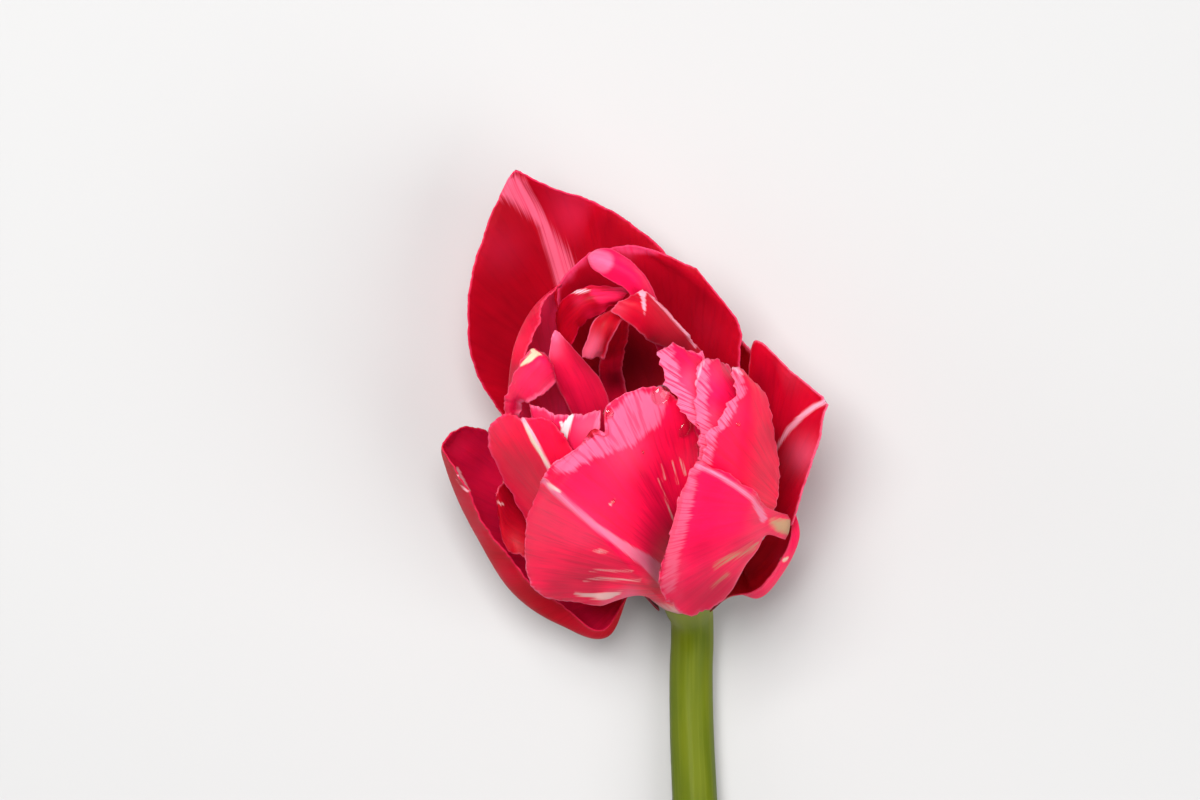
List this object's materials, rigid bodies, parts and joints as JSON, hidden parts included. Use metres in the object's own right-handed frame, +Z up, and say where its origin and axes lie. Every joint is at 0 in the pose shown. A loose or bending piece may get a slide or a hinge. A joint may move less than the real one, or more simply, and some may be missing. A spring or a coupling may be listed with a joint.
{
  "type": "cut double tulip flower",
  "caption": "Single cut double tulip: layered wavy petals folded over a dark open throat, on a smooth green stem, lying on its back petals.",
  "frame": {"origin": "middle of the footprint at the surface that the flower lies on", "axes": "+Y from the cut end of the stem towards the bloom, +Z up, +X to the right of the bloom seen from above with the stem towards the viewer"},
  "size_m": [0.071, 0.2232, 0.061],
  "materials": {
    "petal_outer_face": "satin petal, hot pink red with pale striped margins",
    "petal_inner_face": "satin petal, deep red",
    "petal_back": "satin petal, dark crimson",
    "pistil": "matt yellow green",
    "stamen": "matt near black",
    "stem": "smooth olive green with a soft sheen"
  },
  "bodies": {
    "root": {"petal_guard_back_left": "petal_back", "petal_guard_back_right": "petal_back", "petal_guard_right": "petal_inner_face", "petal_guard_low_right": "petal_back", "petal_guard_left": "petal_inner_face", "petal_front": "petal_outer_face", "petal_front_right": "petal_outer_face", "petal_left_front": "petal_outer_face", "petal_small_curled": "petal_inner_face", "petal_inner_back": "petal_back", "petal_inner_right_1": "petal_outer_face", "petal_inner_right_2": "petal_outer_face", "petal_inner_right_3": "petal_outer_face", "petal_inner_left_front": "petal_outer_face", "petal_left_rim": "petal_outer_face", "petal_folded_tip": "petal_inner_face", "petal_throat_left": "petal_inner_face", "petaloid_arching": "petal_outer_face", "petaloid_band": "petal_outer_face", "petaloid_leaning": "petal_inner_face", "petaloid_hanging": "petal_outer_face", "pistil": "pistil", "stamen_1": "stamen", "stamen_2": "stamen", "stamen_3": "stamen", "stamen_4": "stamen", "stamen_5": "stamen", "stamen_6": "stamen", "stem": "stem"}
  },
  "joints": []
}
